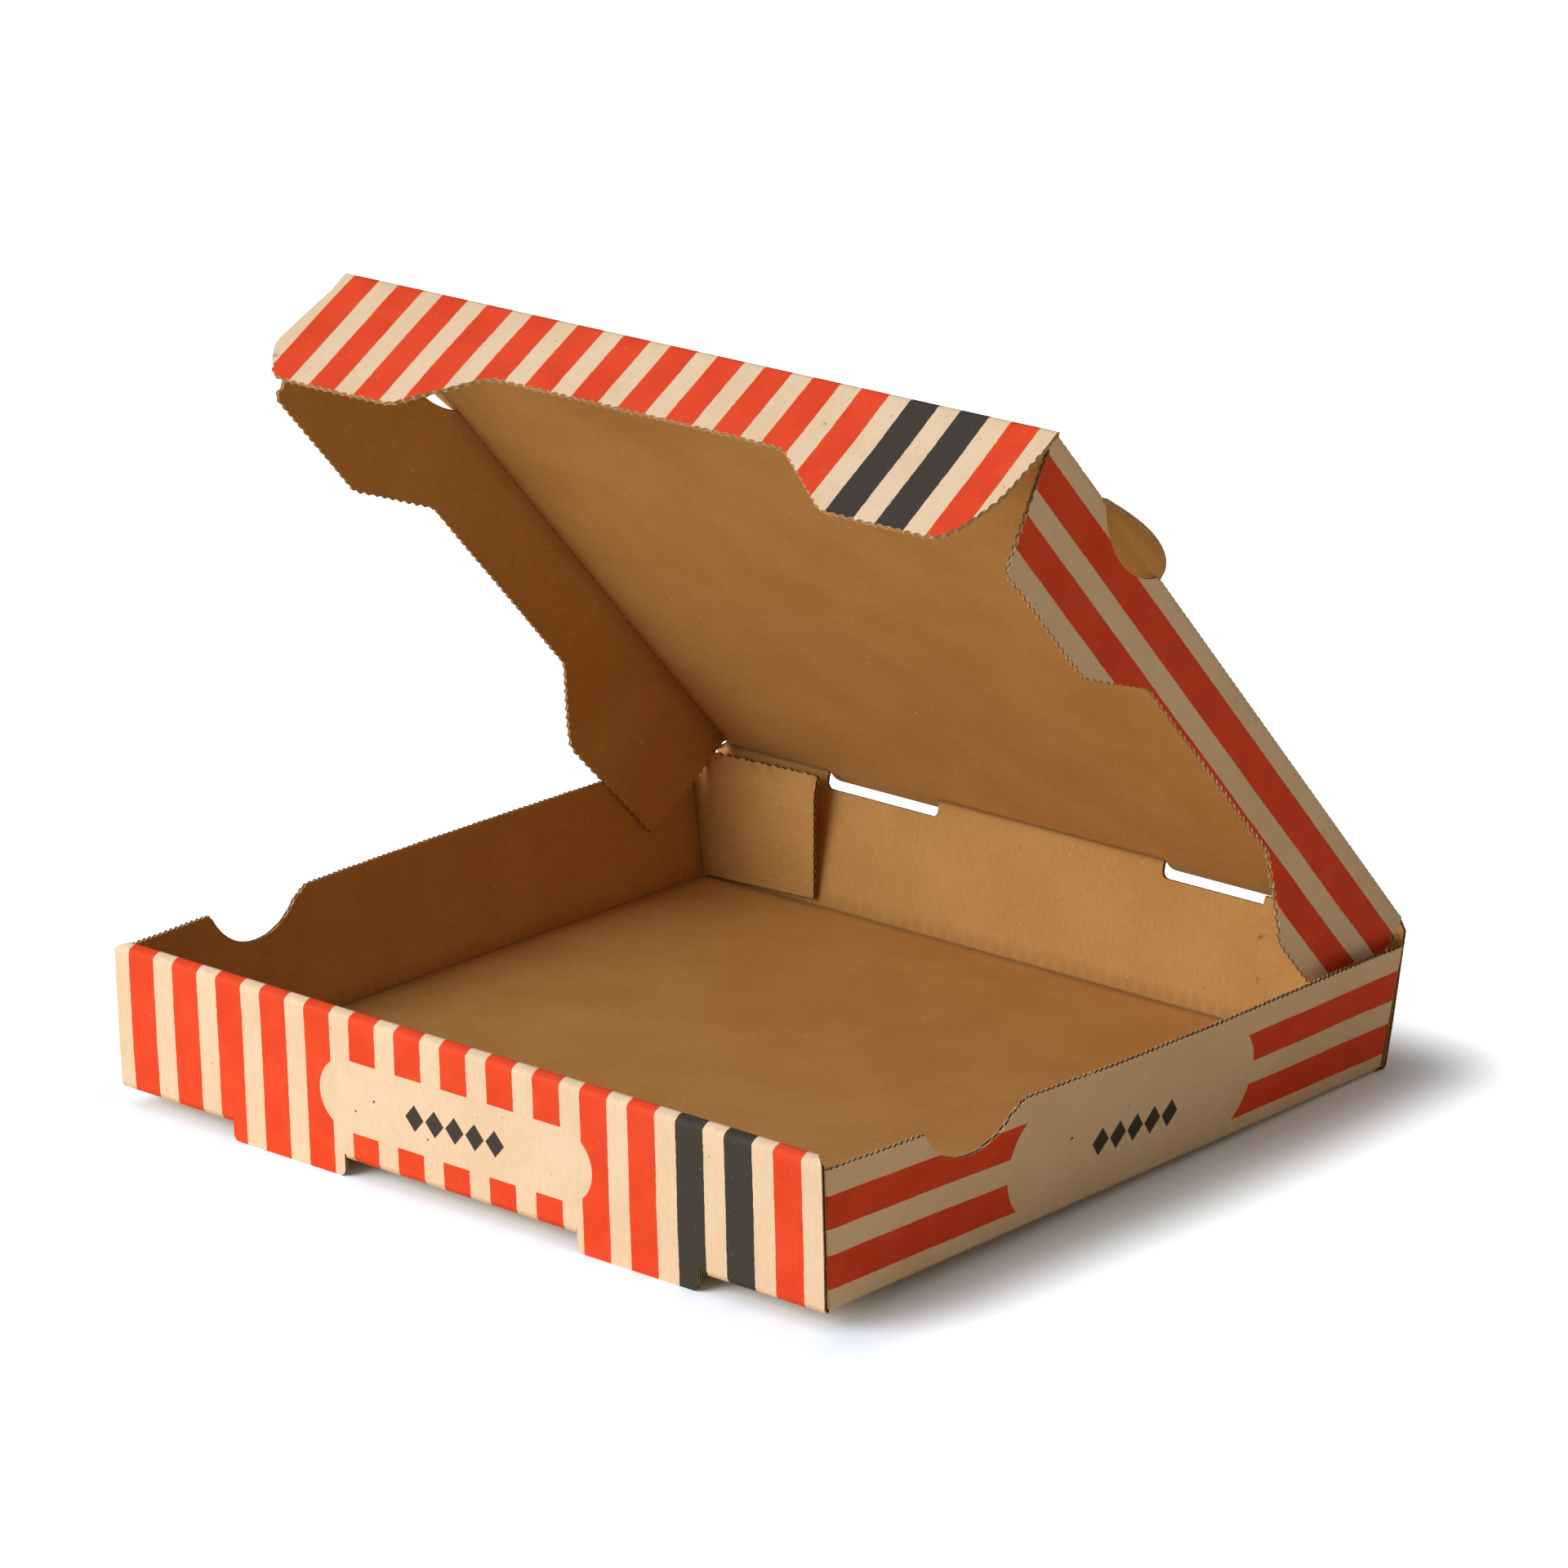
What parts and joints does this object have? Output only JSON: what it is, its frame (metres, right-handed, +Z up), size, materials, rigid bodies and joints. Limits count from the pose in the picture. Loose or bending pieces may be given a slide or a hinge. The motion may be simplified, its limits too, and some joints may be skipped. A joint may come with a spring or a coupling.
{
  "type": "pizza box",
  "caption": "Folded corrugated takeaway box with a shallow square tray and a hinged lid that carries three hanging flaps, printed with plain stripes.",
  "frame": {"origin": "middle of the tray's base, on its underside", "axes": "+X to the right along the front wall, +Y from the front wall to the hinge, +Z up"},
  "size_m": [0.324, 0.3245, 0.2709],
  "materials": {
    "tray_board": "matte kraft board, the outside printed with plain red and charcoal stripes",
    "lid_board": "matte kraft board, the outside printed with plain red and charcoal stripes"
  },
  "bodies": {
    "tray": {"tray": "tray_board"},
    "lid": {"lid": "lid_board"}
  },
  "joints": [
    {"name": "lid_hinge", "type": "hinge", "parent": "tray", "child": "lid", "pos_m": [0, 0.16225, 0.05131], "axis": [-1, 0, 0], "range_deg": [-45.8, 54.2]}
  ]
}
